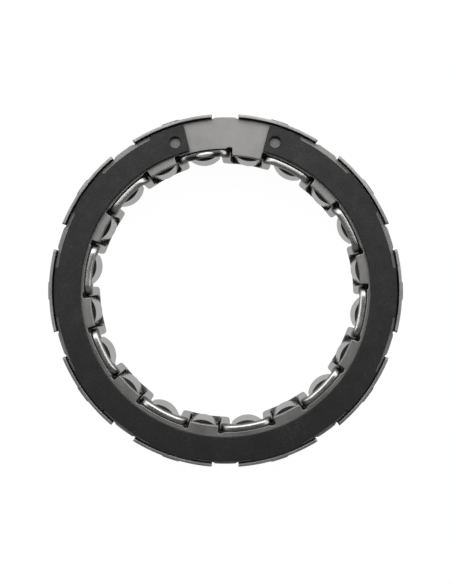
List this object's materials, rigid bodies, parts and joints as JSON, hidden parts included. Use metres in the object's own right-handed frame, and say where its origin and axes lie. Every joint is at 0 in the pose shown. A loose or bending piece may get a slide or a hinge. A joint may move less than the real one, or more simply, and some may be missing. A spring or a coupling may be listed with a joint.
{
  "type": "sprag clutch",
  "caption": "Double-cage sprag clutch: a ring of tilting wedge sprags between a serpentine inner cage and a castellated outer cage closed by a lobed snap ring.",
  "frame": {"origin": "on the clutch axis at the back face of the outer cage", "axes": "+Z along the clutch axis towards the castellated rim and the retaining ring, +Y through the middle of the retaining ring's gap"},
  "size_m": [0.0664, 0.0658, 0.0135],
  "materials": {
    "cage_steel": "satin drawn steel",
    "plate_steel": "satin tumbled steel",
    "black_oxide": "matte black oxide on steel",
    "hoop_steel": "burnished steel",
    "spring_steel": "blank spring steel",
    "sprag_steel": "ground hardened steel"
  },
  "bodies": {
    "outer_assembly": {"outer_cage": "cage_steel", "front_plate": "plate_steel", "retaining_ring": "black_oxide", "energizing_spring": "spring_steel"},
    "inner_cage": {"inner_cage": "hoop_steel"},
    "sprag_01": {"sprag_01": "sprag_steel"},
    "sprag_02": {"sprag_02": "sprag_steel"},
    "sprag_03": {"sprag_03": "sprag_steel"},
    "sprag_04": {"sprag_04": "sprag_steel"},
    "sprag_05": {"sprag_05": "sprag_steel"},
    "sprag_06": {"sprag_06": "sprag_steel"},
    "sprag_07": {"sprag_07": "sprag_steel"},
    "sprag_08": {"sprag_08": "sprag_steel"},
    "sprag_09": {"sprag_09": "sprag_steel"},
    "sprag_10": {"sprag_10": "sprag_steel"},
    "sprag_11": {"sprag_11": "sprag_steel"},
    "sprag_12": {"sprag_12": "sprag_steel"},
    "sprag_13": {"sprag_13": "sprag_steel"},
    "sprag_14": {"sprag_14": "sprag_steel"},
    "sprag_15": {"sprag_15": "sprag_steel"},
    "sprag_16": {"sprag_16": "sprag_steel"},
    "sprag_17": {"sprag_17": "sprag_steel"},
    "sprag_18": {"sprag_18": "sprag_steel"},
    "sprag_19": {"sprag_19": "sprag_steel"},
    "sprag_20": {"sprag_20": "sprag_steel"}
  },
  "joints": [
    {"name": "inner_cage_index", "type": "hinge", "parent": "outer_assembly", "child": "inner_cage", "pos_m": [0, 0, 0], "axis": [0, 0, 1], "range_deg": [-0.9, 0.9], "stiffness_Nm_per_rad": 0.02},
    {"name": "sprag_01_tilt", "type": "hinge", "parent": "outer_assembly", "child": "sprag_01", "pos_m": [0.0318, 0.00504, 0.006], "axis": [0, 0, 1], "range_deg": [-3.8, 3.8]},
    {"name": "sprag_02_tilt", "type": "hinge", "parent": "outer_assembly", "child": "sprag_02", "pos_m": [0.02869, 0.01462, 0.006], "axis": [0, 0, 1], "range_deg": [-3.8, 3.8]},
    {"name": "sprag_03_tilt", "type": "hinge", "parent": "outer_assembly", "child": "sprag_03", "pos_m": [0.02277, 0.02277, 0.006], "axis": [0, 0, 1], "range_deg": [-3.8, 3.8]},
    {"name": "sprag_04_tilt", "type": "hinge", "parent": "outer_assembly", "child": "sprag_04", "pos_m": [0.01462, 0.02869, 0.006], "axis": [0, 0, 1], "range_deg": [-3.8, 3.8]},
    {"name": "sprag_05_tilt", "type": "hinge", "parent": "outer_assembly", "child": "sprag_05", "pos_m": [0.00504, 0.0318, 0.006], "axis": [0, 0, 1], "range_deg": [-3.8, 3.8]},
    {"name": "sprag_06_tilt", "type": "hinge", "parent": "outer_assembly", "child": "sprag_06", "pos_m": [-0.00504, 0.0318, 0.006], "axis": [0, 0, 1], "range_deg": [-3.8, 3.8]},
    {"name": "sprag_07_tilt", "type": "hinge", "parent": "outer_assembly", "child": "sprag_07", "pos_m": [-0.01462, 0.02869, 0.006], "axis": [0, 0, 1], "range_deg": [-3.8, 3.8]},
    {"name": "sprag_08_tilt", "type": "hinge", "parent": "outer_assembly", "child": "sprag_08", "pos_m": [-0.02277, 0.02277, 0.006], "axis": [0, 0, 1], "range_deg": [-3.8, 3.8]},
    {"name": "sprag_09_tilt", "type": "hinge", "parent": "outer_assembly", "child": "sprag_09", "pos_m": [-0.02869, 0.01462, 0.006], "axis": [0, 0, 1], "range_deg": [-3.8, 3.8]},
    {"name": "sprag_10_tilt", "type": "hinge", "parent": "outer_assembly", "child": "sprag_10", "pos_m": [-0.0318, 0.00504, 0.006], "axis": [0, 0, 1], "range_deg": [-3.8, 3.8]},
    {"name": "sprag_11_tilt", "type": "hinge", "parent": "outer_assembly", "child": "sprag_11", "pos_m": [-0.0318, -0.00504, 0.006], "axis": [0, 0, 1], "range_deg": [-3.8, 3.8]},
    {"name": "sprag_12_tilt", "type": "hinge", "parent": "outer_assembly", "child": "sprag_12", "pos_m": [-0.02869, -0.01462, 0.006], "axis": [0, 0, 1], "range_deg": [-3.8, 3.8]},
    {"name": "sprag_13_tilt", "type": "hinge", "parent": "outer_assembly", "child": "sprag_13", "pos_m": [-0.02277, -0.02277, 0.006], "axis": [0, 0, 1], "range_deg": [-3.8, 3.8]},
    {"name": "sprag_14_tilt", "type": "hinge", "parent": "outer_assembly", "child": "sprag_14", "pos_m": [-0.01462, -0.02869, 0.006], "axis": [0, 0, 1], "range_deg": [-3.8, 3.8]},
    {"name": "sprag_15_tilt", "type": "hinge", "parent": "outer_assembly", "child": "sprag_15", "pos_m": [-0.00504, -0.0318, 0.006], "axis": [0, 0, 1], "range_deg": [-3.8, 3.8]},
    {"name": "sprag_16_tilt", "type": "hinge", "parent": "outer_assembly", "child": "sprag_16", "pos_m": [0.00504, -0.0318, 0.006], "axis": [0, 0, 1], "range_deg": [-3.8, 3.8]},
    {"name": "sprag_17_tilt", "type": "hinge", "parent": "outer_assembly", "child": "sprag_17", "pos_m": [0.01462, -0.02869, 0.006], "axis": [0, 0, 1], "range_deg": [-3.8, 3.8]},
    {"name": "sprag_18_tilt", "type": "hinge", "parent": "outer_assembly", "child": "sprag_18", "pos_m": [0.02277, -0.02277, 0.006], "axis": [0, 0, 1], "range_deg": [-3.8, 3.8]},
    {"name": "sprag_19_tilt", "type": "hinge", "parent": "outer_assembly", "child": "sprag_19", "pos_m": [0.02869, -0.01462, 0.006], "axis": [0, 0, 1], "range_deg": [-3.8, 3.8]},
    {"name": "sprag_20_tilt", "type": "hinge", "parent": "outer_assembly", "child": "sprag_20", "pos_m": [0.0318, -0.00504, 0.006], "axis": [0, 0, 1], "range_deg": [-3.8, 3.8]}
  ],
  "couplings": [
    {"joint": "sprag_01_tilt", "follows": "inner_cage_index", "ratio": -4.1935},
    {"joint": "sprag_02_tilt", "follows": "inner_cage_index", "ratio": -4.1935},
    {"joint": "sprag_03_tilt", "follows": "inner_cage_index", "ratio": -4.1935},
    {"joint": "sprag_04_tilt", "follows": "inner_cage_index", "ratio": -4.1935},
    {"joint": "sprag_05_tilt", "follows": "inner_cage_index", "ratio": -4.1935},
    {"joint": "sprag_06_tilt", "follows": "inner_cage_index", "ratio": -4.1935},
    {"joint": "sprag_07_tilt", "follows": "inner_cage_index", "ratio": -4.1935},
    {"joint": "sprag_08_tilt", "follows": "inner_cage_index", "ratio": -4.1935},
    {"joint": "sprag_09_tilt", "follows": "inner_cage_index", "ratio": -4.1935},
    {"joint": "sprag_10_tilt", "follows": "inner_cage_index", "ratio": -4.1935},
    {"joint": "sprag_11_tilt", "follows": "inner_cage_index", "ratio": -4.1935},
    {"joint": "sprag_12_tilt", "follows": "inner_cage_index", "ratio": -4.1935},
    {"joint": "sprag_13_tilt", "follows": "inner_cage_index", "ratio": -4.1935},
    {"joint": "sprag_14_tilt", "follows": "inner_cage_index", "ratio": -4.1935},
    {"joint": "sprag_15_tilt", "follows": "inner_cage_index", "ratio": -4.1935},
    {"joint": "sprag_16_tilt", "follows": "inner_cage_index", "ratio": -4.1935},
    {"joint": "sprag_17_tilt", "follows": "inner_cage_index", "ratio": -4.1935},
    {"joint": "sprag_18_tilt", "follows": "inner_cage_index", "ratio": -4.1935},
    {"joint": "sprag_19_tilt", "follows": "inner_cage_index", "ratio": -4.1935},
    {"joint": "sprag_20_tilt", "follows": "inner_cage_index", "ratio": -4.1935}
  ]
}
